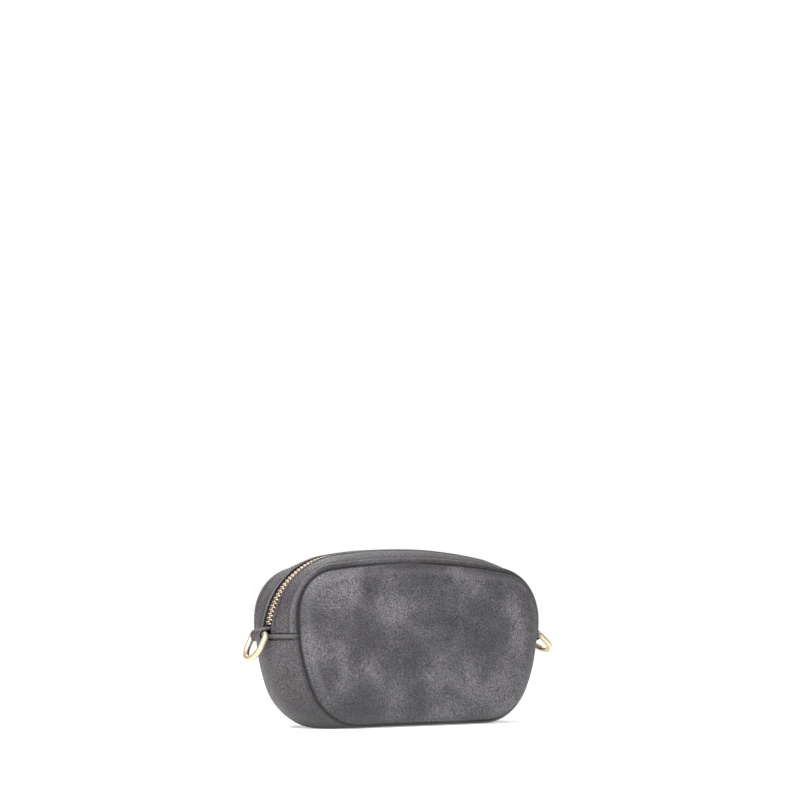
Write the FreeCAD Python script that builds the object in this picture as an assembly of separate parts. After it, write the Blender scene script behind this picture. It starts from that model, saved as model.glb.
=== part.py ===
"""A small zipped leather shoulder bag: a rounded case of sewn leather, with a zip over its top and end rings.

The frame is in millimetres, with the front panel facing -Y, +X to the right as the front is seen, and +Z up.
The origin is the middle of the flat patch that the bag stands on. Every leather, foam and lining piece is a
layer of one form, which is the seam outline at the front and back, swelling to the crest outline at the zip.
"""
import FreeCAD, Part
import math
import os
from collections import namedtuple

from FreeCAD import Vector

os.makedirs("parts", exist_ok=True)

# ---------------------------------------------------------------- driving dimensions
# An outline is five radii about a width and two heights, and is symmetric about X = 0.
Outline = namedtuple("Outline", "half_width top bottom top_r shoulder_r side_r foot_r")
SEAM = Outline(98.0, 111.0, 2.0, 480.0, 30.0, 115.0, 39.0)
CREST = Outline(107.3, 121.5, -1.0, 340.0, 57.0, 100.0, 42.0)
ZIP_Y = -4.0             # the zip's middle, nearer the front than the back
SEAM_Y = 30.0            # the front and back seams lie at -SEAM_Y and +SEAM_Y
SWELL_STEPS = 4          # outlines from a seam to the crest

LEATHER = 1.6            # thickness of the leather
LAYER_GAP = 0.1          # between one layer and the next
TAPE = 0.6               # zip tape thickness
BOARD = 1.1              # base stiffener thickness
LINING = 0.5             # lining thickness
BODY_GAP = 0.3           # between pieces that move apart
TAPE_DEPTH = LEATHER + LAYER_GAP
FACING_DEPTH = TAPE_DEPTH + TAPE + LAYER_GAP
LINING_DEPTH = TAPE_DEPTH + BOARD + LAYER_GAP

FOLD_Z = 62.5            # the zip's ends, and the line that the front folds along as the mouth opens
MOUTH_HALF = 6.5         # from the zip's middle to the folded leather edges
GUSSET_EDGE_Y = 29.8     # the bottom gusset's leather meets the panels here
STRIP_EDGE_Y = 28.6      # the zip strips' leather meets the turned seam here
LINING_EDGE_Y = 29.1
WELT_R = 1.5             # turned seam between a zip strip and a panel
WELT_Y = 30.2
WELT_PROUD = 0.4         # the turned seam's middle, outside the seam outline

PANEL_INSET = 1.3        # a panel's edge, inside the seam outline
# A panel's section: (how far out in Y, how far in from its edge)
PANEL_ROLL = ((29.9, 0.0), (32.4, 0.0), (33.9, 0.5), (35.0, 1.7), (36.1, 4.6), (37.2, 11.5), (38.0, 22.5))
STIFFENER_HALF_X = 46.0
STIFFENER_HALF_Y = 20.0
POCKET_W = 110.0
POCKET_H = 46.0
POCKET_Z = 30.0
POCKET_CORNER = 8.0

PITCH = 2.8              # zip teeth on one tape
TOOTH_H = 2.6
TOOTH_BASE = 3.1         # from the zip's middle to a tooth's back edge
TOOTH_TIP = 0.95         # how far a tooth reaches past the middle
CHAIN_DEPTH = 2.0        # the chain's middle, inside the crest outline
CHAIN_START_DEG = 8.0    # the chain's ends, above the shoulder's level radius
CLOSED_ROOM = 5.4        # chain length kept clear for the closed slider's post
TAPE_EDGE = 3.15         # from the zip's middle to a tape's near edge
TAPE_HALF = 12.5         # from the zip's middle to a tape's far edge
TAPE_TAIL_Z = 58.0       # the tape's sewn-in ends
STOP_DEG = 2.2           # the stops, beyond the chain's ends
STOP_HALF_LONG = 1.1
STOP_WIDE = 3.1

RING_R = 10.0            # ring, to the middle of its wire
RING_WIRE_R = 2.0
RING_DROP = 7.5          # from the bar to where the round end begins
RING_CORNER = 3.0
RING_LEFT_DEG = 26.0     # how far each ring stands out from hanging straight down
RING_RIGHT_DEG = 50.0
TAB_X = 111.5            # the tab's fold, which the ring swings about
TAB_Z = 62.0
TAB_HALF = 6.5
TAB_EYE_R = 2.35         # inside of the fold
TAB_LEATHER = 1.4
TAB_ROOT_X = 104.0
TAB_CLEAR = 0.05

SLIDER_DEG = 15.5        # the slider's place on the right shoulder, closed
SLIDER_LONG = 10.6
SLIDER_WIDE = 9.0
SLIDER_BLADE = 1.1
SLIDER_ROOM_OUT = 1.55   # from the chain's middle to the outer blade
SLIDER_ROOM_IN = 1.9
BRIDGE_HALF = 2.6        # from the slider's middle to each foot of the bridge
BRIDGE_RISE = 3.0
PULLER_LONG = 22.0
PULLER_WIDE = 7.2
PULLER_THICK = 1.4
LOOP_HALF_WIDE = 2.4
LOOP_LONG = 9.0
PULLER_REST_DEG = 197.0  # turned up and in from hanging straight down
PIN_R = 0.75

FAR = 400.0              # larger than the bag


# ---------------------------------------------------------------- outlines
def blended(a, b, share):
    """The outline that is this share of the way from a to b."""
    return Outline(*[u + (v - u) * share for u, v in zip(a, b)])


def inset(o, depth):
    """The same outline, moved in by depth."""
    return Outline(o.half_width - depth, o.top - depth, o.bottom + depth, o.top_r - depth,
                   o.shoulder_r - depth, o.side_r - depth, o.foot_r - depth)


def centres(o):
    """Where the right-hand arcs of an outline are centred, as (x, z): top, shoulder, side and foot."""
    top = (0.0, o.top - o.top_r)
    shoulder_x = o.half_width - o.shoulder_r
    wide_z = top[1] + math.sqrt((o.top_r - o.shoulder_r) ** 2 - shoulder_x ** 2)
    side = (o.half_width - o.side_r, wide_z)
    foot_z = o.bottom + o.foot_r
    foot_x = side[0] + math.sqrt((o.side_r - o.foot_r) ** 2 - (foot_z - wide_z) ** 2)
    return top, (shoulder_x, wide_z), side, (foot_x, foot_z)


def on_circle(centre, radius, degrees, y):
    angle = math.radians(degrees)
    return Vector(centre[0] + radius * math.cos(angle), y, centre[1] + radius * math.sin(angle))


def heading(a, b):
    """The direction from a to b, in degrees above +X."""
    return math.degrees(math.atan2(b[1] - a[1], b[0] - a[0]))


def mirrored(v):
    return Vector(-v.x, v.y, v.z)


def outline_wire(o, y):
    """An outline as a closed wire of arcs at this y, clockwise from the top left."""
    top, shoulder, side, foot = centres(o)
    top_end = heading(top, shoulder)
    foot_start = heading(side, foot)

    def arc(centre, radius, start, end):
        return [on_circle(centre, radius, d, y) for d in (start, (start + end) / 2, end)]

    right = [arc(shoulder, o.shoulder_r, top_end, 0), arc(side, o.side_r, 0, foot_start),
             arc(foot, o.foot_r, foot_start, -90)]
    left = [[mirrored(p) for p in reversed(a)] for a in reversed(right)]
    crown = arc(top, o.top_r, 180 - top_end, top_end)
    sole = Part.makeLine(right[-1][2], left[0][0])
    edges = [Part.Arc(*a).toShape() for a in [crown] + right]
    edges += [sole] + [Part.Arc(*a).toShape() for a in left]
    return Part.Wire(edges)


# ---------------------------------------------------------------- the form and its layers
def slab(x, y, z):
    """A box between pairs of limits."""
    return Part.makeBox(x[1] - x[0], y[1] - y[0], z[1] - z[0], Vector(x[0], y[0], z[0]))


def swollen(depth):
    """The bag's form between its seams, moved in by depth, standing flat at that height."""
    sections = []
    for k in range(-SWELL_STEPS, SWELL_STEPS + 1):
        share = k / SWELL_STEPS
        seam_y = SEAM_Y if k > 0 else -SEAM_Y
        outline = blended(CREST, SEAM, share * share)
        sections.append(outline_wire(inset(outline, depth), ZIP_Y + (seam_y - ZIP_Y) * abs(share)))
    return Part.makeLoft(sections, True).common(slab((-FAR, FAR), (-FAR, FAR), (depth, FAR)))


def shell(outer_depth, thickness, half_y):
    """A layer of the form that begins at outer_depth, open at the front and back."""
    band = swollen(outer_depth).cut(swollen(outer_depth + thickness))
    return band.common(slab((-FAR, FAR), (-half_y, half_y), (-FAR, FAR)))


def above(shape, z, y=(-FAR, FAR)):
    return shape.common(slab((-FAR, FAR), y, (z, FAR)))


def below(shape, z, y=(-FAR, FAR)):
    return shape.common(slab((-FAR, FAR), y, (-FAR, z)))


def at_back(shape):
    """The same piece on the back panel."""
    return shape.mirror(Vector(0, 0, 0), Vector(0, 1, 0))


def crowned(shrink, edge, start_y):
    """A filled front panel: PANEL_ROLL with its edge moved in by edge, and its face moved back by shrink."""
    sections = []
    for number, (out, across) in enumerate(PANEL_ROLL):
        y = start_y if number == 0 else out - shrink
        sections.append(outline_wire(inset(SEAM, edge + across), -y))
    return Part.makeLoft(sections, True, True)


def panel():
    """The front panel's leather."""
    start = PANEL_ROLL[0][0]
    hollow = crowned(LEATHER, PANEL_INSET + LEATHER, start - 1)
    return crowned(0, PANEL_INSET, start).cut(hollow)


def panel_foam():
    depth = LEATHER + LAYER_GAP
    return crowned(depth, PANEL_INSET + depth, PANEL_ROLL[0][0])


def panel_lining():
    """The flat lining behind the front panel, inside the gusset's lining."""
    edge = LINING_DEPTH + LINING + LAYER_GAP
    face = Part.Face(outline_wire(inset(SEAM, edge), -PANEL_ROLL[0][0] + LAYER_GAP))
    return face.extrude(Vector(0, LINING, 0))


def pocket():
    """A slip pocket sewn flat on the back lining."""
    face_y = PANEL_ROLL[0][0] - LAYER_GAP - LINING
    patch = slab((-POCKET_W / 2, POCKET_W / 2), (face_y - LINING, face_y),
                 (POCKET_Z, POCKET_Z + POCKET_H))
    corners = [e for e in patch.Edges if e.BoundBox.YLength > LINING / 2]
    return patch.makeFillet(POCKET_CORNER, corners)


def welt():
    """The rolled seam round the front panel."""
    path = outline_wire(inset(SEAM, -WELT_PROUD), -WELT_Y)
    edge = path.Edges[0]
    start = Part.makeCircle(WELT_R, edge.Vertexes[0].Point, edge.tangentAt(edge.FirstParameter))
    return path.makePipeShell([Part.Wire([start])], True, True)


# ---------------------------------------------------------------- the zip
def chain_stretches():
    """The chain's arcs from the right end to the left one: (centre, radius, first angle, last angle)."""
    o = inset(CREST, CHAIN_DEPTH)
    top, shoulder, _, _ = centres(o)
    bend = heading(top, shoulder)
    left = (-shoulder[0], shoulder[1])
    return [(shoulder, o.shoulder_r, CHAIN_START_DEG, bend), (top, o.top_r, bend, 180 - bend),
            (left, o.shoulder_r, 180 - bend, 180 - CHAIN_START_DEG)]


def frame_at(centre, radius, degrees):
    """A place on the chain as (point, direction along it, direction out of the bag)."""
    angle = math.radians(degrees)
    out = Vector(math.cos(angle), 0, math.sin(angle))
    return on_circle(centre, radius, degrees, ZIP_Y), Vector(-out.z, 0, out.x), out


def chain_frames(spacing, offset):
    """Places along the chain, from its right end to its left one."""
    frames = []
    travelled = offset
    for centre, radius, first, last in chain_stretches():
        length = math.radians(last - first) * radius
        while travelled <= length:
            frames.append(frame_at(centre, radius, first + math.degrees(travelled / radius)))
            travelled += spacing
        travelled -= length
    return frames


def placed(outline, frame, low, high):
    """A flat shape of (along the chain, across in Y) points, raised from low to high out of the bag."""
    point, along, out = frame
    corners = [point + along * a + Vector(0, y, 0) + out * low for a, y in outline]
    return Part.Face(Part.makePolygon(corners + corners[:1])).extrude(out * (high - low))


def block(frame, half_along, y, rise, chamfer):
    """A block about a place on the chain with its corners cut, between two limits in Y and in height."""
    low, high = y
    plan = [(half_along - chamfer, low), (half_along, low + chamfer), (half_along, high - chamfer),
            (half_along - chamfer, high), (chamfer - half_along, high), (-half_along, high - chamfer),
            (-half_along, low + chamfer), (chamfer - half_along, low)]
    return placed(plan, frame, rise[0], rise[1])


def tooth(frame, side):
    """One tooth, crimped on the tape at side = -1 (front) or 1 (back), with its head past the middle."""
    half_base, half_neck, half_head, half_nose = 0.62, 0.48, 0.55, 0.26
    right = [(half_base, TOOTH_BASE), (half_base, 1.25), (half_neck, 0.75), (half_head, -0.6),
             (half_nose, -TOOTH_TIP)]
    plan = [(a, side * y) for a, y in right] + [(-a, side * y) for a, y in reversed(right)]
    return placed(plan, frame, -TOOTH_H / 2, TOOTH_H / 2)


def teeth(side):
    """One tape's teeth. The back ones stand half a pitch along from the front ones."""
    offset = CLOSED_ROOM + (0 if side < 0 else PITCH / 2)
    return Part.makeCompound([tooth(f, side) for f in chain_frames(PITCH, offset)])


def tape(side):
    """A tape behind the teeth, with its ends sewn in below the zip's ends."""
    near = ZIP_Y + side * TAPE_EDGE
    far = ZIP_Y + side * TAPE_HALF
    return above(shell(TAPE_DEPTH, TAPE, SEAM_Y), TAPE_TAIL_Z, (min(near, far), max(near, far)))


def strip(side, outer_depth, thickness, half_y):
    """A layer of the zip's leather strip from the zip's edge to the seam, on one side."""
    near = ZIP_Y + side * MOUTH_HALF
    y = (-FAR, near) if side < 0 else (near, FAR)
    return above(shell(outer_depth, thickness, half_y), FOLD_Z + BODY_GAP / 2, y)


def top_stop(side):
    """The small clamp above one tape's last tooth at the closed end."""
    centre, radius, first, _ = chain_stretches()[0]
    y = (0.4, STOP_WIDE) if side > 0 else (-STOP_WIDE, -0.4)
    frame = frame_at(centre, radius, first - STOP_DEG)
    return block(frame, STOP_HALF_LONG, y, (-TOOTH_H / 2, TOOTH_H / 2), 0.4)


def bottom_stop():
    """The clamp over both tapes at the open end."""
    centre, radius, _, last = chain_stretches()[-1]
    frame = frame_at(centre, radius, last + STOP_DEG)
    return block(frame, STOP_HALF_LONG, (-STOP_WIDE, STOP_WIDE), (-TOOTH_H / 2, TOOTH_H / 2), 0.5)


# ---------------------------------------------------------------- slider and puller
def slider_frame():
    centre, radius, _, _ = chain_stretches()[0]
    return frame_at(centre, radius, SLIDER_DEG)


def slider():
    """Two blades joined by a post between the tapes, and a bridge that holds the puller."""
    frame = slider_frame()
    half = (-SLIDER_WIDE / 2, SLIDER_WIDE / 2)
    outer = (SLIDER_ROOM_OUT, SLIDER_ROOM_OUT + SLIDER_BLADE)
    inner = (-SLIDER_ROOM_IN - SLIDER_BLADE, -SLIDER_ROOM_IN)
    body = block(frame, SLIDER_LONG / 2, half, outer, 2.2)
    body = body.fuse(block(frame, SLIDER_LONG / 2, half, inner, 2.2))
    point, along, out = frame
    post = (point - along * (SLIDER_LONG / 2 - 1.3), along, out)
    body = body.fuse(block(post, 1.0, (-0.9, 0.9), (inner[0] + 0.3, outer[1] - 0.3), 0.2))
    for shift in (-1, 1):
        foot = (point + along * (shift * BRIDGE_HALF), along, out)
        body = body.fuse(block(foot, 0.7, (-1.2, 1.2), (outer[0] + 0.2, outer[1] + BRIDGE_RISE), 0.2))
    body = body.fuse(block(frame, BRIDGE_HALF + 0.7, (-1.2, 1.2),
                           (outer[1] + BRIDGE_RISE - 0.8, outer[1] + BRIDGE_RISE), 0.4))
    return body.removeSplitter()


def puller_pin():
    """Where the puller turns under the slider's bridge, as a point."""
    point, _, out = slider_frame()
    return point + out * (SLIDER_ROOM_OUT + SLIDER_BLADE + PIN_R + 0.25)


def puller():
    """A wire loop through the bridge that ends in a flat tab, hanging from the pin and then turned out."""
    pin = puller_pin()
    half = LOOP_HALF_WIDE
    reach = LOOP_LONG
    pin_bar = Part.makeCylinder(PIN_R, 2 * half, pin - Vector(0, half, 0), Vector(0, 1, 0))
    shape = pin_bar
    for y in (-half, half):
        shape = shape.fuse(Part.makeCylinder(PIN_R, reach, pin + Vector(0, y, 0), Vector(0, 0, -1)))
        shape = shape.fuse(Part.makeSphere(PIN_R, pin + Vector(0, y, 0)))
    tab = slab((pin.x - PULLER_THICK / 2, pin.x + PULLER_THICK / 2),
               (pin.y - PULLER_WIDE / 2, pin.y + PULLER_WIDE / 2),
               (pin.z - PULLER_LONG, pin.z - reach + 0.6))
    tab = tab.makeFillet(PULLER_WIDE / 3, [e for e in tab.Edges if e.BoundBox.XLength > PULLER_THICK / 2])
    hole = Part.makeCylinder(1.2, 4, pin + Vector(-2, 0, 3.2 - PULLER_LONG), Vector(1, 0, 0))
    shape = shape.fuse(tab.cut(hole))
    shape.rotate(pin, Vector(0, 1, 0), -PULLER_REST_DEG)
    return shape


# ---------------------------------------------------------------- rings and tabs
def ring(sign, lean):
    """A wire D-ring on its tab's fold, hanging and then turned outward by lean."""
    bar = Vector(sign * TAB_X, ZIP_Y, TAB_Z)
    half, drop, r = RING_R, RING_DROP, RING_CORNER
    lean_in = r * (1 - math.sqrt(0.5))

    def at(y, z):
        return bar + Vector(0, y, z)

    lines = [Part.makeLine(at(r - half, 0), at(half - r, 0)),
             Part.Arc(at(half - r, 0), at(half - lean_in, -lean_in), at(half, -r)).toShape(),
             Part.makeLine(at(half, -r), at(half, -drop)),
             Part.Arc(at(half, -drop), at(0, -drop - half), at(-half, -drop)).toShape(),
             Part.makeLine(at(-half, -drop), at(-half, -r)),
             Part.Arc(at(-half, -r), at(lean_in - half, -lean_in), at(r - half, 0)).toShape()]
    path = Part.Wire(lines)
    start = Part.Wire([Part.makeCircle(RING_WIRE_R, at(r - half, 0), Vector(0, 1, 0))])
    shape = path.makePipeShell([start], True, True)
    shape.rotate(bar, Vector(0, 1, 0), -sign * lean)
    return shape


def tab():
    """The right-hand tab: leather folded round the ring's bar, and sewn to the bag's side."""
    outer = TAB_EYE_R + TAB_LEATHER
    eye = Vector(TAB_X, ZIP_Y - TAB_HALF, TAB_Z)
    loop = Part.makeCylinder(outer, 2 * TAB_HALF, eye, Vector(0, 1, 0))
    root = slab((TAB_ROOT_X, TAB_X), (ZIP_Y - TAB_HALF, ZIP_Y + TAB_HALF), (TAB_Z - outer, TAB_Z + outer))
    bore = Part.makeCylinder(TAB_EYE_R, 2 * TAB_HALF + 2, eye - Vector(0, 1, 0), Vector(0, 1, 0))
    return loop.fuse(root).cut(bore).cut(swollen(-TAB_CLEAR)).removeSplitter()


def at_left(shape):
    return shape.mirror(Vector(0, 0, 0), Vector(1, 0, 0))


# ---------------------------------------------------------------- the pieces
def lower(shape):
    return below(shape, FOLD_Z - BODY_GAP / 2)


def upper(shape):
    return above(shape, FOLD_Z + BODY_GAP / 2)


def base_stiffener():
    """The board in the base, between the leather and the lining."""
    patch = slab((-STIFFENER_HALF_X, STIFFENER_HALF_X), (-STIFFENER_HALF_Y, STIFFENER_HALF_Y),
                 (TAPE_DEPTH, TAPE_DEPTH + BOARD))
    return swollen(TAPE_DEPTH).common(patch)


def pieces():
    leather, foam, lining, turned_seam = panel(), panel_foam(), panel_lining(), upper(welt())
    return {
        "back_panel": at_back(leather),
        "back_padding": at_back(foam),
        "back_lining": at_back(lining),
        "lining_pocket": pocket(),
        "bottom_gusset": lower(shell(0, LEATHER, GUSSET_EDGE_Y)),
        "base_stiffener": base_stiffener(),
        "gusset_lining": lower(shell(LINING_DEPTH, LINING, LINING_EDGE_Y)),
        "zip_gusset_back": strip(1, 0, LEATHER, STRIP_EDGE_Y),
        "seam_ridge_back": at_back(turned_seam),
        "zip_facing_back": strip(1, FACING_DEPTH, LINING, LINING_EDGE_Y),
        "zip_tape_back": tape(1),
        "zip_teeth_back": teeth(1),
        "zip_bottom_stop": bottom_stop(),
        "zip_top_stop_back": top_stop(1),
        "left_tab": at_left(tab()),
        "right_tab": tab(),
        "front_panel_lower": lower(leather),
        "front_padding_lower": lower(foam),
        "front_lining_lower": lower(lining),
        "front_panel_upper": upper(leather),
        "front_padding_upper": upper(foam),
        "front_lining_upper": upper(lining),
        "zip_gusset_front": strip(-1, 0, LEATHER, STRIP_EDGE_Y),
        "seam_ridge_front": turned_seam,
        "zip_facing_front": strip(-1, FACING_DEPTH, LINING, LINING_EDGE_Y),
        "zip_tape_front": tape(-1),
        "zip_teeth_front": teeth(-1),
        "zip_top_stop_front": top_stop(-1),
        "slider_body": slider(),
        "puller": puller(),
        "left_ring": ring(-1, RING_LEFT_DEG),
        "right_ring": ring(1, RING_RIGHT_DEG),
    }


for name, piece in pieces().items():
    piece.exportStep("parts/" + name + ".step")
    print(name, "%.1f mm3" % piece.Volume, "%d solids" % len(piece.Solids))
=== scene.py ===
"""A small dark-grey leather zip bag around its CAD frame, its soft pieces swept round the bag's outlines."""
import math
from collections import namedtuple

import bmesh
import bpy
import numpy as np
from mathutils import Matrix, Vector, noise


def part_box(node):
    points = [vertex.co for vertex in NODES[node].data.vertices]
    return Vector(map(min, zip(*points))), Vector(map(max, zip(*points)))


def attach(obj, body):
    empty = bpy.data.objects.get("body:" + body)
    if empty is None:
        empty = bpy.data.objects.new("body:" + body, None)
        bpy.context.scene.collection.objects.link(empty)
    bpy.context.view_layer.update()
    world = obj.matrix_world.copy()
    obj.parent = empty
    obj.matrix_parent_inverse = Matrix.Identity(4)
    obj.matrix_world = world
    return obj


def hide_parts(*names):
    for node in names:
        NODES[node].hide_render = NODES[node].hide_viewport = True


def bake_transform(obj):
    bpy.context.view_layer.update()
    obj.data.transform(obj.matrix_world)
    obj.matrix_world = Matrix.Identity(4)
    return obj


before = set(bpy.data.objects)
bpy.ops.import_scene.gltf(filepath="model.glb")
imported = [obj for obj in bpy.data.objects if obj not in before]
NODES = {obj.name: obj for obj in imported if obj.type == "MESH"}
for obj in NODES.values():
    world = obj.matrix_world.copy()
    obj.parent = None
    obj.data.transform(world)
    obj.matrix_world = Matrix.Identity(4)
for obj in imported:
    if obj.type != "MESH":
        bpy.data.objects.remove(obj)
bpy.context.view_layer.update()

# ---------------------------------------------------------------- sizes, in millimetres as in the CAD
MM = 0.001
Outline = namedtuple("Outline", "half_width top bottom top_r shoulder_r side_r foot_r")
SEAM = Outline(98.0, 111.0, 2.0, 480.0, 30.0, 115.0, 39.0)
CREST = Outline(107.3, 121.5, -1.0, 340.0, 57.0, 100.0, 42.0)
SEAM_Y = 30.0
ZIP_Y = -4.0
FOLD_Z = 62.5
FOLD_GAP = 0.2
MOUTH_HALF = 6.5
LEATHER = 1.6
TAPE_NEAR, TAPE_FAR = 3.0, 12.5
TAPE_TOP, TAPE_UNDER = 1.75, 2.3
TAIL_Z = 58.0
FACING_TOP, FACING_UNDER = 2.4, 2.9
LINING_TOP, LINING_UNDER = 2.9, 3.4
LINING_Y = 29.55
PANEL_Y = 29.9
PANEL_INSET = 0.7
PANEL_OUT = 38.0
PANEL_LIP = 0.6                         # how far out the panel starts, at its edge
ROLL_HEIGHT, ROLL_WIDTH = 4.3, 8.0
CROWN_WIDTH = 46.0
PANEL_LINING_Y = (29.78, 29.32)         # its outer and inner face
STITCH_ROW = 9.45                       # from the zip's line to the strip's stitches
CHAIN_DEPTH = 2.0
PITCH = 2.8
CHAIN_START_DEG = 8.0
CLOSED_ROOM = 5.4
TAB_X, TAB_Z = 111.5, 62.0

# The smooth noise takes its draw from the clock unless it is given one.
NOISE_SEED = 1794976243
noise.seed_set(NOISE_SEED)


# ---------------------------------------------------------------- outlines
def blended(a, b, share):
    return Outline(*[u + (v - u) * share for u, v in zip(a, b)])


def inset(o, depth):
    return Outline(o.half_width - depth, o.top - depth, o.bottom + depth, o.top_r - depth,
                   o.shoulder_r - depth, o.side_r - depth, o.foot_r - depth)


def centres(o):
    """Where the right-hand arcs are centred, as (x, z): top, shoulder, side and foot."""
    top = (0.0, o.top - o.top_r)
    shoulder_x = o.half_width - o.shoulder_r
    wide_z = top[1] + math.sqrt((o.top_r - o.shoulder_r) ** 2 - shoulder_x ** 2)
    side = (o.half_width - o.side_r, wide_z)
    foot_z = o.bottom + o.foot_r
    foot_x = side[0] + math.sqrt((o.side_r - o.foot_r) ** 2 - (foot_z - wide_z) ** 2)
    return top, (shoulder_x, wide_z), side, (foot_x, foot_z)


def heading(a, b):
    return math.degrees(math.atan2(b[1] - a[1], b[0] - a[0]))


def arc(centre, radius, first, last, steps=60):
    angle = np.radians(np.linspace(first, last, steps))
    return np.column_stack([centre[0] + radius * np.cos(angle), centre[1] + radius * np.sin(angle)])


def right_half(o):
    """The outline's right half as close points from the top's middle to the bottom's."""
    top, shoulder, side, foot = centres(o)
    bend = heading(top, shoulder)
    knee = heading(side, foot)
    runs = [arc(top, o.top_r, 90, bend), arc(shoulder, o.shoulder_r, bend, 0), arc(side, o.side_r, 0, knee),
            arc(foot, o.foot_r, knee, -90), np.array([[0.0, o.bottom]])]
    return np.vstack([runs[0]] + [r[1:] for r in runs[1:]])


def evenly(points, count):
    """The same line as count points that are evenly spaced along it."""
    steps = np.hypot(*np.diff(points, axis=0).T)
    along = np.concatenate([[0], np.cumsum(steps)])
    at = np.linspace(0, along[-1], count)
    return np.column_stack([np.interp(at, along, points[:, k]) for k in (0, 1)])


def cut_at(half, z, upper):
    """The part of a right half that is above or below z."""
    cut = np.searchsorted(-half[:, 1], -z)
    a, b = half[cut - 1], half[cut]
    edge = a + (b - a) * (a[1] - z) / (a[1] - b[1])
    return np.vstack([half[:cut], edge]) if upper else np.vstack([edge, half[cut:]])


def run(o, z, upper, count):
    """An outline above or below z, from its right end to its left one."""
    part = cut_at(right_half(o), z, upper)
    part = part[::-1] if upper else part
    left = part[::-1][1:] * [-1, 1]
    return evenly(np.vstack([part, left]), count)


def loop(o, count):
    """A whole outline, clockwise from the top's middle, without its last point again."""
    half = right_half(o)
    return evenly(np.vstack([half, half[::-1][1:] * [-1, 1]]), count + 1)[:-1]


def gusset_outline(y, depth):
    """The bag's outline at this y between the seams, moved in by depth."""
    seam_y = SEAM_Y if y > ZIP_Y else -SEAM_Y
    share = min(1.0, abs((y - ZIP_Y) / (seam_y - ZIP_Y)))
    return inset(blended(CREST, SEAM, share * share), depth)


# ---------------------------------------------------------------- meshes
def softened(points, amount, size, seed):
    """The points in millimetres, moved by smooth noise of this amount and size."""
    moved = points.copy()
    for i, p in enumerate(points):
        v = noise.noise_vector(Vector(p) / size + Vector((seed, seed * 0.7, 0)))
        moved[i] = p + amount * np.array(v)
    return moved


def make_mesh(name, points, faces, material, painted_light=None, smooth=True):
    mesh = bpy.data.meshes.new(name)
    mesh.from_pydata([tuple(p) for p in np.asarray(points) * MM], [], faces)
    mesh.validate()
    mesh.polygons.foreach_set("use_smooth", [smooth] * len(mesh.polygons))
    # The per-point levels of painted highlight (above 0) and painted shade (below 0), kept as a point
    # attribute.
    if painted_light is not None:
        attribute = mesh.attributes.new("painted_light", "FLOAT", "POINT")
        attribute.data.foreach_set("value", np.asarray(painted_light, np.float32))
    mesh.materials.append(material)
    obj = bpy.data.objects.new(name, mesh)
    bpy.context.scene.collection.objects.link(obj)
    return obj


def outward(obj):
    """Turns a closed mesh's faces outward."""
    bm = bmesh.new()
    bm.from_mesh(obj.data)
    bmesh.ops.recalc_face_normals(bm, faces=bm.faces)
    bm.to_mesh(obj.data)
    bm.free()


def swept(name, profile, z, upper, count, material, amount=0.0, lift=None, painted_light_levels=None, shade=None):
    """A closed piece: a profile of (y, depth) points run round the bag above or below z, flat underneath."""
    rows = []
    for y, depth in profile:
        line = run(gusset_outline(y, depth), z, upper, count)
        if lift is not None:
            raised = run(gusset_outline(y, depth - 1.0), z, upper, count)
            line = line + (raised - line) * lift(line[:, 1], depth)[:, None]
        rows.append(np.column_stack([line[:, 0], np.full(count, y), line[:, 1]]))
    grid = np.array(rows)
    m = len(profile)
    points = grid.reshape(-1, 3)
    if amount:
        points = softened(points, amount, 26.0, 3.0)
    points[:, 2] = np.maximum(points[:, 2], np.repeat([max(depth, 0.0) for _, depth in profile], count))
    faces = [(j * count + i, j * count + i + 1, (j + 1) % m * count + i + 1, (j + 1) % m * count + i)
             for j in range(m) for i in range(count - 1)]
    faces.append([j * count for j in range(m)])
    faces.append([j * count + count - 1 for j in reversed(range(m))])
    # Each profile row's painted highlight (above 0) or painted shade (below 0), plus what shade() paints by
    # height.
    painted_light = np.repeat(painted_light_levels, count) if painted_light_levels is not None else None
    if shade is not None:
        painted_light = painted_light + shade(points[:, 2])
    obj = make_mesh(name, points, faces, material, painted_light)
    outward(obj)
    return obj


# ---------------------------------------------------------------- materials
def new_material(name):
    material = bpy.data.materials.new(name)
    material.use_nodes = True
    tree = material.node_tree
    return material, tree, tree.nodes["Principled BSDF"]


def add(tree, kind, **values):
    """A node with its named properties and input sockets set."""
    node = tree.nodes.new(kind)
    for key, value in values.items():
        if hasattr(node, key):
            setattr(node, key, value)
        else:
            node.inputs[key.replace("_", " ")].default_value = value
    return node


def ramp(tree, source, stops):
    node = tree.nodes.new("ShaderNodeValToRGB")
    tree.links.new(source, node.inputs["Fac"])
    elements = node.color_ramp.elements
    while len(elements) < len(stops):
        elements.new(0.5)
    for element, (place, grey) in zip(elements, stops):
        element.position = place
        element.color = (grey, grey, grey, 1) if isinstance(grey, float) else (*grey, 1)
    return node.outputs["Color"]


def math_node(tree, operation, a, b):
    node = tree.nodes.new("ShaderNodeMath")
    node.operation = operation
    for socket, value in zip(node.inputs, (a, b)):
        if isinstance(value, (int, float)):
            socket.default_value = value
        else:
            tree.links.new(value, socket)
    return node.outputs[0]


def mixed(tree, factor, a, b, blend_type="MIX"):
    node = tree.nodes.new("ShaderNodeMix")
    node.data_type = "RGBA"
    node.blend_type = blend_type
    for socket, value in ((node.inputs[0], factor), (node.inputs[6], a), (node.inputs[7], b)):
        if isinstance(value, (int, float)):
            socket.default_value = value
        elif isinstance(value, tuple):
            socket.default_value = (*value, 1)
        else:
            tree.links.new(value, socket)
    return node.outputs[2]


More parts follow.
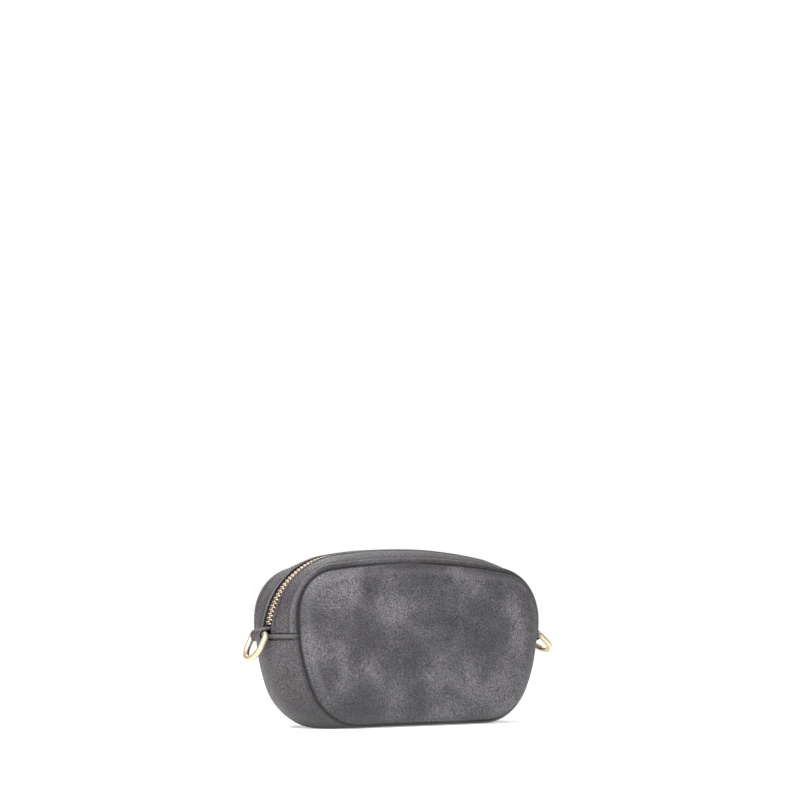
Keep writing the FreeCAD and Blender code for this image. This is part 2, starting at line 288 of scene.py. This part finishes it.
def leather_material(name, dark, mid, light, cloud_scale=24.0, patchy=0.16, rough=0.56):
    """Soft full-grain leather: cloudy dye and fine pebbles, with a per-point attribute that paints shade
    into seams and creases and paints highlights onto ridges and rolled edges.
    """
    material, tree, shader = new_material(name)
    place = tree.nodes.new("ShaderNodeTexCoord").outputs["Object"]

    def textured(kind, scale, **values):
        node = add(tree, kind, Scale=scale, **values)
        tree.links.new(place, node.inputs["Vector"])
        return node

    cloud = textured("ShaderNodeTexNoise", cloud_scale, Detail=2.5, Roughness=0.5, Distortion=0.3)
    patch = textured("ShaderNodeTexNoise", cloud_scale * 4.5, Detail=3.0, Roughness=0.6)
    pebbles = textured("ShaderNodeTexVoronoi", 1000.0, Randomness=1.0)
    creases = textured("ShaderNodeTexNoise", 640.0, Detail=3.0, Roughness=0.65)
    fleck = textured("ShaderNodeTexNoise", 1100.0, Detail=1.0, Roughness=0.6)
    tone = math_node(tree, "ADD", math_node(tree, "MULTIPLY", cloud.outputs["Fac"], 1 - patchy),
                     math_node(tree, "MULTIPLY", patch.outputs["Fac"], patchy))
    colour = ramp(tree, tone, [(0.38, dark), (0.50, mid), (0.61, light)])
    grain = ramp(tree, pebbles.outputs["Distance"], [(0.0, 1.35), (0.42, 1.0), (0.8, 0.35)])
    colour = mixed(tree, 1.0, colour, grain, "MULTIPLY")
    specks = ramp(tree, fleck.outputs["Fac"], [(0.38, 0.55), (0.5, 1.0), (0.64, 1.5)])
    colour = mixed(tree, 1.0, colour, specks, "MULTIPLY")
    # The point attribute holds painted light: above 0 a painted highlight, below 0 painted shade.
    painted_light = add(tree, "ShaderNodeAttribute", attribute_name="painted_light").outputs["Fac"]
    painted_highlight = math_node(tree, "MAXIMUM", painted_light, 0.0)
    painted_shade = math_node(tree, "MAXIMUM", math_node(tree, "MULTIPLY", painted_light, -1.0), 0.0)
    # Painted highlight pales the colour toward 1.45 times the light tone; painted shade darkens it toward
    # 0.16 times the dark tone.
    highlight_mix = math_node(tree, "MULTIPLY", painted_highlight, math_node(tree, "ADD", patch.outputs["Fac"], 0.25))
    colour = mixed(tree, highlight_mix, colour, tuple(1.45 * c for c in light))
    colour = mixed(tree, painted_shade, colour, tuple(0.16 * c for c in dark))
    tree.links.new(colour, shader.inputs["Base Color"])
    gloss = ramp(tree, tone, [(0.35, rough - 0.07), (0.65, rough + 0.09)])
    tree.links.new(gloss, shader.inputs["Roughness"])
    height = math_node(tree, "SUBTRACT", math_node(tree, "MULTIPLY", creases.outputs["Fac"], 0.9),
                       pebbles.outputs["Distance"])
    bump = add(tree, "ShaderNodeBump", Strength=0.8, Distance=0.0004)
    tree.links.new(height, bump.inputs["Height"])
    tree.links.new(bump.outputs["Normal"], shader.inputs["Normal"])
    shader.inputs["Specular IOR Level"].default_value = 0.42
    return material


def woven_material(name, base, thread, rough=0.85):
    """Plain woven cloth: two sets of threads crossing over and under."""
    material, tree, shader = new_material(name)
    place = tree.nodes.new("ShaderNodeTexCoord").outputs["Object"]
    waves = []
    for direction in ("X", "Z"):
        node = add(tree, "ShaderNodeTexWave", wave_type="BANDS", bands_direction=direction,
                   Scale=1.0 / thread, Distortion=0.6)
        node.inputs["Detail"].default_value = 1.0
        tree.links.new(place, node.inputs["Vector"])
        waves.append(node.outputs["Fac"])
    weave = math_node(tree, "MULTIPLY", waves[0], waves[1])
    colour = ramp(tree, weave, [(0.0, tuple(0.6 * c for c in base)), (1.0, tuple(1.5 * c for c in base))])
    tree.links.new(colour, shader.inputs["Base Color"])
    shader.inputs["Roughness"].default_value = rough
    bump = add(tree, "ShaderNodeBump", Strength=0.5, Distance=0.0002)
    tree.links.new(weave, bump.inputs["Height"])
    tree.links.new(bump.outputs["Normal"], shader.inputs["Normal"])
    return material


def metal_material(name, colour, rough):
    """Satin plated metal with faint brushing and small colour changes."""
    material, tree, shader = new_material(name)
    place = tree.nodes.new("ShaderNodeTexCoord").outputs["Object"]
    haze = add(tree, "ShaderNodeTexNoise", Scale=140.0, Detail=3.0)
    fine = add(tree, "ShaderNodeTexNoise", Scale=2600.0, Detail=2.0)
    for node in (haze, fine):
        tree.links.new(place, node.inputs["Vector"])
    tint = ramp(tree, haze.outputs["Fac"], [(0.35, tuple(0.9 * c for c in colour)), (0.65, colour)])
    tree.links.new(tint, shader.inputs["Base Color"])
    gloss = ramp(tree, haze.outputs["Fac"], [(0.3, rough - 0.05), (0.7, rough + 0.08)])
    tree.links.new(gloss, shader.inputs["Roughness"])
    shader.inputs["Metallic"].default_value = 1.0
    bump = add(tree, "ShaderNodeBump", Strength=0.12, Distance=0.0001)
    tree.links.new(fine.outputs["Fac"], bump.inputs["Height"])
    tree.links.new(bump.outputs["Normal"], shader.inputs["Normal"])
    return material


DARK, MID, LIGHT = (0.027, 0.0247, 0.0275), (0.047, 0.0437, 0.0475), (0.093, 0.088, 0.094)
WARM = tuple(a * b for a, b in zip(MID, (0.80, 0.69, 0.70)))
LEATHER_LOOK = leather_material("leather", DARK, MID, LIGHT)
STRIP_LOOK = leather_material("leather_strip", tuple(0.68 * c for c in DARK), WARM,
                              tuple(0.6 * c for c in LIGHT), cloud_scale=18.0, patchy=0.12)
THREAD_LOOK = woven_material("thread", (0.012, 0.011, 0.013), 0.0006, 0.7)
TAPE_LOOK = woven_material("zip_tape", (0.013, 0.013, 0.015), 0.0009)
LINING_LOOK = woven_material("lining", (0.045, 0.044, 0.050), 0.0011)
METAL_LOOK = metal_material("satin_gold", (0.60, 0.49, 0.335), 0.47)
BOARD_LOOK = woven_material("board", (0.10, 0.095, 0.09), 0.002)


# ---------------------------------------------------------------- panels
def panel_out(across):
    """How far out a panel's face is, at this distance in from its edge."""
    roll = min(across / ROLL_WIDTH, 1.0)
    crown = min(across / CROWN_WIDTH, 1.0)
    edge = PANEL_Y + PANEL_LIP
    crown_height = PANEL_OUT - edge - ROLL_HEIGHT
    return edge + ROLL_HEIGHT * math.sqrt(1 - (1 - roll) ** 2) + crown_height * (1 - (1 - crown) ** 2)


def panel_painted_light(across):
    """Painted shade, dark in the seam crease, and a painted highlight, paler along the roll."""
    seam_end, roll_middle, roll_reach, roll_highlight = 0.9, 5.4, 2.4, 0.24
    if across < seam_end:
        return max(-1.0, 2.5 * (across - seam_end))
    return roll_highlight * math.exp(-((across - roll_middle) / roll_reach) ** 2)


def panel(name, side, material, count=360):
    """A padded leather panel: a rolled edge and a crowned face, closed at the back."""
    edge_rings, edge_width = 27, 24.0
    middle_rings, middle_width = 19, 26.0
    painted_foot_shade, foot_height = 0.45, 34.0
    rings, outs, painted_light_levels = [], [], []
    first = inset(SEAM, PANEL_INSET)
    # The turned-back rings carry painted shade, dark as the inside of the bag.
    back_rings = [(6.0, PANEL_Y + 0.1), (2.0, PANEL_Y + 0.05), (0.4, PANEL_Y + 0.05)]
    for across, out in back_rings:
        rings.append(loop(inset(first, across), count))
        outs.append(out)
        painted_light_levels.append(-1.0)
    for k in range(edge_rings):
        across = edge_width * (k / (edge_rings - 1)) ** 1.8
        rings.append(loop(inset(first, across), count))
        outs.append(panel_out(across))
        painted_light_levels.append(panel_painted_light(across))
    last = rings[-1]
    middle = last.mean(axis=0)
    for k in range(1, middle_rings + 1):
        share = 1 - k / (middle_rings + 1)
        rings.append(middle + (last - middle) * share)
        outs.append(panel_out(edge_width + middle_width * (1 - share)))
        painted_light_levels.append(0.0)
    points = [np.column_stack([r[:, 0], np.full(count, side * o), r[:, 1]]) for r, o in zip(rings, outs)]
    m = len(points)
    flat = softened(np.vstack(points), 0.55, 30.0, 1.0 if side < 0 else 5.0)
    centre = [[middle[0], side * outs[-1], middle[1]], [middle[0], side * outs[0], middle[1]]]
    flat = np.vstack([flat, centre])
    faces = [(j * count + i, (j + 1) * count + i, (j + 1) * count + (i + 1) % count,
              j * count + (i + 1) % count) for j in range(m - 1) for i in range(count)]
    faces += [((m - 1) * count + i, m * count, (m - 1) * count + (i + 1) % count) for i in range(count)]
    faces += [((i + 1) % count, m * count + 1, i) for i in range(count)]
    # Painted shade on the back face's middle point.
    shade = np.concatenate([np.repeat(painted_light_levels, count), [0, -1]])
    # Painted shade: the panel darkens towards its bottom, standing in for the dimmer light near the floor.
    shade -= painted_foot_shade * np.clip((foot_height - flat[:, 2]) / foot_height, 0, 1) ** 1.5
    obj = make_mesh(name, flat, faces, material, shade)
    outward(obj)
    return obj


# ---------------------------------------------------------------- gusset and strips
def strip_profile(side):
    """A zip strip's section with its painted light: folded at the zip, stitched, and turned in at the seam.

    Each point is its distance from the zip's line, its depth under the bag's outline and its painted light:
    a painted highlight on the fold and welt ridges, painted shade under the fold, in the stitch groove, in
    the seam crease and on the hidden underside.
    """
    reach = SEAM_Y - side * ZIP_Y
    flat_from, flat_to, flat_steps = 11.6, reach - 6.6, 6
    fold_and_stitches = [(6.9, 1.55, -0.6), (6.55, 1.25, -0.6), (6.35, 0.75, -0.1), (6.5, 0.2, 0.6),
                         (6.95, -0.25, 0.8), (7.6, -0.42, 0.55), (8.3, -0.35, 0.15), (8.9, -0.05, -0.1),
                         (9.3, 0.12, -0.45), (9.8, 0.08, -0.3), (10.4, -0.08, 0.0), (flat_from, -0.1, 0.0)]
    flat = [(flat_from + (flat_to - flat_from) * k / flat_steps, -0.1 + 0.1 * k / flat_steps, 0.0)
            for k in range(1, flat_steps + 1)]
    turned_seam = [(reach - 5.9, 0.1, -0.1), (reach - 5.2, 0.28, -0.5), (reach - 4.6, 0.1, -0.2),
                   (reach - 3.9, -0.5, 0.3), (reach - 3.1, -1.15, 0.75), (reach - 2.3, -1.3, 0.6),
                   (reach - 1.5, -0.95, 0.1), (reach - 0.8, -0.3, -0.1), (reach - 0.35, 0.5, -1.0),
                   (reach - 0.1, 1.2, -1.0)]
    sewn_into_panel = [(reach + 0.7, 1.5, -1.0), (reach + 0.7, 2.4, -1.0), (reach - 0.4, 1.7, -1.0)]
    underside = [(reach - 2.0, 1.6, -1.0), (reach - 8.0, LEATHER, -1.0)]
    shape = fold_and_stitches + flat + turned_seam + sewn_into_panel + underside
    return [(ZIP_Y + side * t, d) for t, d, _ in shape], [w for _, _, w in shape]


def strip(name, side):
    profile, painted_light_levels = strip_profile(side)
    return swept(name, profile, FOLD_Z + FOLD_GAP, True, 420, STRIP_LOOK, 0.3, None, painted_light_levels)


def end_fold(z, depth):
    """How far the bottom gusset stands out near its folded, stitched ends."""
    rise = 1.7 * np.exp(-((z - 60.9) / 1.35) ** 4) - 0.5 * np.exp(-((z - 58.9) / 0.6) ** 2)
    return rise if depth < 1.0 else np.zeros_like(z)


def end_fold_painted_light(z):
    """Painted highlight along the folded ends' ridge, and painted shade dark in the stitched crease under
    it.
    """
    return 0.55 * np.exp(-((z - 61.3) / 1.1) ** 2) - 1.0 * np.exp(-((z - 58.7) / 0.55) ** 2)


def bottom_gusset():
    edge = SEAM_Y - 0.15
    # Painted shade darkens the seam crease at both edges, the seam allowance and the hidden inner face.
    outer = [(-edge, 1.35, -1.0), (-edge + 0.15, 0.6, -0.8), (-edge + 0.7, 0.15, -0.3),
             (-edge + 1.8, 0.0, 0.1)]
    span = 2 * (edge - 4.0)
    outer += [(-edge + 4.0 + span * k / 20, 0.0, 0.0) for k in range(21)]
    outer += [(-y, depth, painted_light) for y, depth, painted_light in reversed(outer[:4])]
    inner = [(edge - 2 * edge * k / 8, LEATHER, -1.0) for k in range(9)]
    allowance = [(edge + 0.85, 1.5, -1.0), (edge + 0.85, 2.4, -1.0), (edge - 0.3, 1.7, -1.0)]
    profile = outer + allowance + inner[1:-1] + [(-y, d, w) for y, d, w in reversed(allowance)]
    return swept("bottom_gusset_leather", [(y, d) for y, d, _ in profile], FOLD_Z - FOLD_GAP, False, 700,
                 STRIP_LOOK, 0.25, end_fold, [w for _, _, w in profile], end_fold_painted_light)


def band(name, near, far, top, under, z, upper, material, steps=8):
    """A flat band between two y limits and two depths."""
    ys = [near + (far - near) * k / steps for k in range(steps + 1)]
    profile = [(y, top) for y in ys] + [(y, under) for y in reversed(ys)]
    return swept(name, profile, z, upper, 260, material)


# ---------------------------------------------------------------- zip chain
def chain_frames(spacing, offset):
    """Places along the chain from its right end to its left: (point, direction along, direction out)."""
    o = inset(CREST, CHAIN_DEPTH)
    top, shoulder, _, _ = centres(o)
    bend = heading(top, shoulder)
    stretches = [(shoulder, o.shoulder_r, CHAIN_START_DEG, bend), (top, o.top_r, bend, 180 - bend),
                 ((-shoulder[0], shoulder[1]), o.shoulder_r, 180 - bend, 180 - CHAIN_START_DEG)]
    frames = []
    travelled = offset
    for centre, radius, first, last in stretches:
        length = math.radians(last - first) * radius
        while travelled <= length:
            angle = math.radians(first) + travelled / radius
            out = np.array([math.cos(angle), 0, math.sin(angle)])
            point = np.array([centre[0], ZIP_Y, centre[1]]) + radius * out
            frames.append((point, np.array([-out[2], 0, out[0]]), out))
            travelled += spacing
        travelled -= length
    return frames


def teeth(name, side):
    """One tape's cast teeth, each with softened edges, as one piece."""
    right = [(0.50, 3.2), (0.52, 1.9), (0.48, 1.3), (0.40, 0.75), (0.54, -0.25), (0.48, -0.7), (0.24, -1.0)]
    plan = np.array(right + [(-a, y) for a, y in reversed(right)])
    middle = plan.mean(axis=0)
    levels = [(-1.25, 0.72), (-0.95, 1.0), (0.85, 1.0), (1.22, 0.82), (1.38, 0.5)]
    points, faces = [], []
    offset = CLOSED_ROOM + (0 if side < 0 else PITCH / 2)
    for point, along, out in chain_frames(PITCH, offset):
        base = len(points)
        for rise, scale in levels:
            for a, y in middle + (plan - middle) * scale:
                points.append(point + along * a + np.array([0, side * y, 0]) + out * rise)
        n = len(plan)
        for level in range(len(levels) - 1):
            for i in range(n):
                a, b = base + level * n + i, base + level * n + (i + 1) % n
                faces.append((a, b, b + n, a + n))
        faces.append([base + i for i in range(n)])
        faces.append([base + (len(levels) - 1) * n + i for i in reversed(range(n))])
    obj = make_mesh(name, points, faces, METAL_LOOK)
    outward(obj)
    return obj


# ---------------------------------------------------------------- stitches
def stitches(name, lines, pitch=3.1, length=2.3, radius=0.24):
    """Short thread capsules laid end to end along lines of 3-D points in millimetres."""
    points, faces = [], []
    sides = 6
    shape = [(-0.5, 0.35), (-0.38, 0.9), (0.0, 1.0), (0.38, 0.9), (0.5, 0.35)]
    for line in lines:
        line = np.asarray(line)
        along = np.concatenate([[0], np.cumsum(np.linalg.norm(np.diff(line, axis=0), axis=1))])
        for k in range(int(along[-1] / pitch)):
            at = (k + 0.5) * pitch
            a, b = [np.array([np.interp(at + s * length / 2, along, line[:, c]) for c in range(3)])
                    for s in (-1, 1)]
            direction = (b - a) / np.linalg.norm(b - a)
            across = np.cross(direction, [0.12, 1.0, 0.07])
            across /= np.linalg.norm(across)
            other = np.cross(direction, across)
            base = len(points)
            for place, swell in shape:
                for i in range(sides):
                    angle = 2 * math.pi * i / sides
                    points.append((a + b) / 2 + direction * place * length
                                  + radius * swell * (across * math.cos(angle) + other * math.sin(angle)))
            for ring in range(len(shape) - 1):
                for i in range(sides):
                    p, q = base + ring * sides + i, base + ring * sides + (i + 1) % sides
                    faces.append((p, q, q + sides, p + sides))
            faces.append([base + i for i in range(sides)])
            faces.append([base + (len(shape) - 1) * sides + i for i in reversed(range(sides))])
    obj = make_mesh(name, points, faces, THREAD_LOOK)
    outward(obj)
    return obj


def gusset_line(y, depth, z, upper, count=240):
    line = run(gusset_outline(y, depth), z, upper, count)
    return np.column_stack([line[:, 0], np.full(count, y), line[:, 1]])


# ---------------------------------------------------------------- tabs
def tab(name, sign):
    """Leather folded round the ring's bar, with rounded edges, sewn to the end of the bag."""
    low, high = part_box("right_tab" if sign > 0 else "left_tab")
    bar = np.array([sign * TAB_X, TAB_Z])
    half = (high[1] - low[1]) / MM / 2
    thickness = 1.4
    section = [(math.cos(math.radians(a)), math.sin(math.radians(a))) for a in range(90, -91, -15)]
    outer = [(3.9 * c + 0.35 * (1 - s), 3.7 * s - 0.8 * max(0, -s)) for c, s in section]
    outer = [(-6.2, 5.4), (-4.2, 4.9), (-2.0, 4.2)] + outer + [(-1.6, -4.7), (-3.8, -4.6), (-6.0, -4.2)]
    inner = [(2.4 * c + 0.3 * (1 - s), 2.4 * s - 0.6 * max(0, -s)) for c, s in section]
    inner = [(-6.2, 3.8), (-4.2, 3.3), (-2.0, 2.7)] + inner + [(-1.6, -3.2), (-3.8, -3.1), (-6.0, -2.7)]
    steps = [(-half, 0.55), (-half + 0.25, 0.2), (-half + 0.8, 0.0)]
    steps += [(t, 0.0) for t in np.linspace(-half + 2, half - 2, 8)]
    steps += [(half - 0.8, 0.0), (half - 0.25, 0.2), (half, 0.55)]
    points, painted_light_levels = [], []
    n = len(outer)
    for y, shrink in steps:
        for k, (o, i) in enumerate(zip(outer, inner)):
            o, i = np.array(o), np.array(i)
            points.append(o + (i - o) * shrink / thickness)
            points.append(i + (o - i) * shrink / thickness)
            # Painted highlight pales the rounded edges; painted shade darkens the loop's inner face.
            painted_light_levels += [0.3 if shrink else 0.0, -0.4]
    flat = np.array([[bar[0] + sign * p[0], 0, bar[1] + p[1]] for p in points])
    flat[:, 1] = np.repeat([ZIP_Y + y for y, _ in steps], 2 * n)
    faces = []
    for s in range(len(steps) - 1):
        a, b = s * 2 * n, (s + 1) * 2 * n
        for k in range(n - 1):
            faces.append((a + 2 * k, a + 2 * k + 2, b + 2 * k + 2, b + 2 * k))
            faces.append((a + 2 * k + 1, b + 2 * k + 1, b + 2 * k + 3, a + 2 * k + 3))
        for k in (0, n - 1):
            faces.append((a + 2 * k, b + 2 * k, b + 2 * k + 1, a + 2 * k + 1))
    for s in (0, len(steps) - 1):
        a = s * 2 * n
        faces += [(a + 2 * k, a + 2 * k + 1, a + 2 * k + 3, a + 2 * k + 2) for k in range(n - 1)]
    obj = make_mesh(name, flat, faces, STRIP_LOOK, painted_light_levels)
    outward(obj)
    return obj


# ---------------------------------------------------------------- linings
def flat_lining(name, side):
    """The cloth that lines a panel, inside the gusset's lining."""
    count = 200
    outline = inset(SEAM, LINING_TOP - 0.2)
    rings = [loop(outline, count)]
    middle = rings[0].mean(axis=0)
    rings += [middle + (rings[0] - middle) * share for share in (0.97, 0.85, 0.65, 0.4, 0.15)]
    points = []
    for y in PANEL_LINING_Y:
        points += [np.column_stack([r[:, 0], np.full(count, side * y), r[:, 1]]) for r in rings]
    n = len(rings)
    flat = np.vstack(points + [[[middle[0], side * y, middle[1]] for y in PANEL_LINING_Y]])
    faces = []
    for face in (0, n):
        for j in range(face, face + n - 1):
            faces += [(j * count + i, (j + 1) * count + i, (j + 1) * count + (i + 1) % count,
                       j * count + (i + 1) % count) for i in range(count)]
    top = 2 * n * count
    for last, centre in ((n - 1, top), (2 * n - 1, top + 1)):
        faces += [(last * count + i, centre, last * count + (i + 1) % count) for i in range(count)]
    faces += [(i, (i + 1) % count, n * count + (i + 1) % count, n * count + i) for i in range(count)]
    obj = make_mesh(name, flat, faces, LINING_LOOK)
    outward(obj)
    return obj


def pocket():
    """A slip pocket on the back lining: sewn at the sides and foot, hemmed and a little slack at the top."""
    half, foot, height, corner, cloth = 55.0, 30.0, 46.0, 8.0, 0.45
    sewn_y, lining_face_y, hem_height, deepest_slack = 29.26, 29.29, 38.0, 1.5
    across, up = np.linspace(-1, 1, 61), np.linspace(0, 1, 37)
    front, back = [], []
    for v in up:
        z = foot + v * height
        end = min(corner, min(v, 1 - v) * height)
        reach = half - corner + math.sqrt(corner ** 2 - (corner - end) ** 2)
        for u in across:
            edge = min(1.0, (1 - abs(u)) * reach / 2.0, v * height / 2.0)
            slack = deepest_slack * v ** 1.6 * (1 - u * u)
            slack += 0.25 * math.sin(9.0 * u + 1.0) * v * (1 - u * u)
            hem = 0.3 * min(1.0, max(0.0, (v * height - hem_height) / 0.6))
            y = sewn_y - 0.42 * edge - slack - hem * edge
            front.append((u * reach, y, z))
            back.append((u * reach, min(lining_face_y, y + cloth), z))
    wide, high = len(across), len(up)
    count = wide * high
    faces = []
    for j in range(high - 1):
        for i in range(wide - 1):
            a = j * wide + i
            faces.append((a, a + 1, a + 1 + wide, a + wide))
            faces.append((count + a, count + a + wide, count + a + 1 + wide, count + a + 1))
    rim = list(range(wide)) + [j * wide + wide - 1 for j in range(1, high)]
    rim += [(high - 1) * wide + i for i in range(wide - 2, -1, -1)]
    rim += [j * wide for j in range(high - 2, 0, -1)]
    faces += [(a, count + a, count + b, b) for a, b in zip(rim, rim[1:] + rim[:1])]
    obj = make_mesh("lining_pocket_cloth", front + back, faces, LINING_LOOK)
    outward(obj)
    grid = np.array(front).reshape(high, wide, 3)
    inner = [grid[j, 1] for j in range(high - 1, 1, -1)] + [grid[1, i] for i in range(1, wide - 1)]
    inner += [grid[j, wide - 2] for j in range(2, high)]
    hem_row = int(hem_height / height * (high - 1))
    lines = [np.array(inner) - [0, 0.05, 0], grid[hem_row] - [0, 0.12, 0]]
    return obj, stitches("pocket_stitches", lines, 3.0, 2.1, 0.2)


def repaint(node, material):
    """A CAD node keeps its shape and takes this material."""
    obj = NODES[node]
    if not obj.material_slots:
        obj.data.materials.append(material)
    for slot in obj.material_slots:
        slot.material = material


def soften_edges(node, width):
    """Rounds a metal CAD node's sharp edges by this many millimetres."""
    bevel = NODES[node].modifiers.new("soft_edges", "BEVEL")
    bevel.width = width * MM
    bevel.segments = 3
    bevel.limit_method = "ANGLE"
    bevel.angle_limit = math.radians(35)


# ---------------------------------------------------------------- the bag
def bends(obj, *nodes):
    """A soft piece at the front: its placement is baked into its mesh and the CAD nodes it stands for are
    hidden.
    """
    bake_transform(obj)
    if nodes:
        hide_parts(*nodes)


def rides_case(obj, *nodes):
    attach(obj, "case")
    if nodes:
        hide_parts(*nodes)


def build_bag():
    front = panel("front_panel_leather", -1, LEATHER_LOOK)
    bends(front, "front_panel_lower", "front_panel_upper", "front_padding_lower", "front_padding_upper")
    back = panel("back_panel_leather", 1, LEATHER_LOOK)
    rides_case(back, "back_panel", "back_padding")
    rides_case(bottom_gusset(), "bottom_gusset")
    bends(strip("zip_strip_front", -1), "zip_gusset_front", "seam_ridge_front")
    rides_case(strip("zip_strip_back", 1), "zip_gusset_back", "seam_ridge_back")
    for side, fix in ((-1, bends), (1, rides_case)):
        where = "front" if side < 0 else "back"
        tape = band("zip_tape_cloth_" + where, ZIP_Y + side * TAPE_NEAR, ZIP_Y + side * TAPE_FAR, TAPE_TOP,
                    TAPE_UNDER, TAIL_Z, True, TAPE_LOOK)
        fix(tape, "zip_tape_" + where)
        facing = band("zip_facing_cloth_" + where, ZIP_Y + side * MOUTH_HALF, side * LINING_Y, FACING_TOP,
                      FACING_UNDER, FOLD_Z + FOLD_GAP, True, LINING_LOOK)
        fix(facing, "zip_facing_" + where)
        fix(teeth("zip_teeth_cast_" + where, side), "zip_teeth_" + where)
        line = gusset_line(ZIP_Y + side * STITCH_ROW, -0.02, FOLD_Z + 2.0, True)
        fix(stitches("zip_stitches_" + where, [line]))
        seam = loop(inset(SEAM, 0.35), 500)
        seam = np.column_stack([seam[:, 0], np.full(len(seam), side * (SEAM_Y + 0.25)), seam[:, 1]])
        fix(stitches("seam_stitches_" + where, [seam], 2.6, 1.9, 0.28))
        lining = flat_lining("panel_lining_" + where, side)
        fix(lining, *(("front_lining_lower", "front_lining_upper") if side < 0 else ("back_lining",)))
    lining = band("gusset_lining_cloth", -LINING_Y, LINING_Y, LINING_TOP, LINING_UNDER,
                  FOLD_Z - FOLD_GAP, False, LINING_LOOK, 20)
    rides_case(lining, "gusset_lining")
    for sign, name in ((-1, "left_tab"), (1, "right_tab")):
        rides_case(tab(name + "_leather", sign), name)
    for node in ("zip_bottom_stop", "zip_top_stop_back", "zip_top_stop_front", "slider_body", "puller",
                 "left_ring", "right_ring"):
        repaint(node, METAL_LOOK)
    for node, width in (("slider_body", 0.28), ("puller", 0.22), ("zip_bottom_stop", 0.3),
                        ("zip_top_stop_back", 0.3), ("zip_top_stop_front", 0.3)):
        soften_edges(node, width)
    pocket_cloth, pocket_sewing = pocket()
    rides_case(pocket_cloth, "lining_pocket")
    rides_case(pocket_sewing)
    repaint("base_stiffener", BOARD_LOOK)      # a board hidden between the bottom gusset and its lining


# ---------------------------------------------------------------- floor, light and camera
SKY = 0.58               # how bright the even studio light is; the backdrop itself shows as 1
FLOOR_GLOW = 0.48        # keeps the floor as white as the backdrop
LIGHTS = (               # name, place, target, size, watts, colour
    ("key", (-0.75, -0.55, 0.95), (0, 0, 0.06), (0.5, 0.5), 30.0, (0.97, 0.965, 1.0)),
    ("front", (0.35, -1.3, 0.55), (0, 0, 0.06), (0.9, 0.5), 3.0, (1, 1, 1)),
    ("back", (0.3, 0.9, 0.9), (0, 0, 0.1), (0.8, 0.6), 8.0, (1, 1, 1)),
)
CAMERA_AWAY, CAMERA_HEIGHT = 1.0624, 0.0646     # metres, across the floor and above it
CAMERA_AZIMUTH_DEG, CAMERA_PITCH_DEG = 31.57, 8.79
CAMERA_LENS = 67.1


def floor():
    mesh = bpy.data.meshes.new("floor")
    size = 30.0
    corners = [(-size, -size, 0), (size, -size, 0), (size, size, 0), (-size, size, 0)]
    mesh.from_pydata(corners, [], [(0, 1, 2, 3)])
    material, tree, shader = new_material("floor")
    shader.inputs["Base Color"].default_value = (0.93, 0.93, 0.93, 1)
    shader.inputs["Roughness"].default_value = 0.9
    shader.inputs["Specular IOR Level"].default_value = 0.0
    shader.inputs["Emission Color"].default_value = (1, 1, 1, 1)
    shader.inputs["Emission Strength"].default_value = FLOOR_GLOW
    mesh.materials.append(material)
    obj = bpy.data.objects.new("floor", mesh)
    bpy.context.scene.collection.objects.link(obj)


def area_light(name, place, target, size, power, colour):
    data = bpy.data.lights.new(name, "AREA")
    data.shape = "RECTANGLE"
    data.size, data.size_y = size
    data.energy = power
    data.color = colour
    obj = bpy.data.objects.new(name, data)
    obj.location = place
    obj.rotation_euler = (Vector(target) - Vector(place)).to_track_quat("-Z", "Y").to_euler()
    bpy.context.scene.collection.objects.link(obj)


def light_and_camera():
    scene = bpy.context.scene
    world = bpy.data.worlds.new("studio")
    world.use_nodes = True
    tree = world.node_tree
    seen = tree.nodes.new("ShaderNodeLightPath").outputs["Is Camera Ray"]
    strength = math_node(tree, "ADD", math_node(tree, "MULTIPLY", seen, 1 - SKY), SKY)
    tree.nodes["Background"].inputs["Color"].default_value = (1, 1, 1, 1)
    tree.links.new(strength, tree.nodes["Background"].inputs["Strength"])
    scene.world = world
    scene.view_settings.view_transform = "Standard"
    for light in LIGHTS:
        area_light(*light)
    data = bpy.data.cameras.new("camera")
    data.lens = CAMERA_LENS
    data.sensor_width = 36.0
    data.clip_start = 0.01
    camera = bpy.data.objects.new("camera", data)
    azimuth, pitch = math.radians(CAMERA_AZIMUTH_DEG), math.radians(CAMERA_PITCH_DEG)
    camera.location = (-CAMERA_AWAY * math.sin(azimuth), -CAMERA_AWAY * math.cos(azimuth), CAMERA_HEIGHT)
    camera.rotation_euler = (math.pi / 2 + pitch, 0, -azimuth)
    scene.collection.objects.link(camera)
    scene.camera = camera


build_bag()
floor()
light_and_camera()
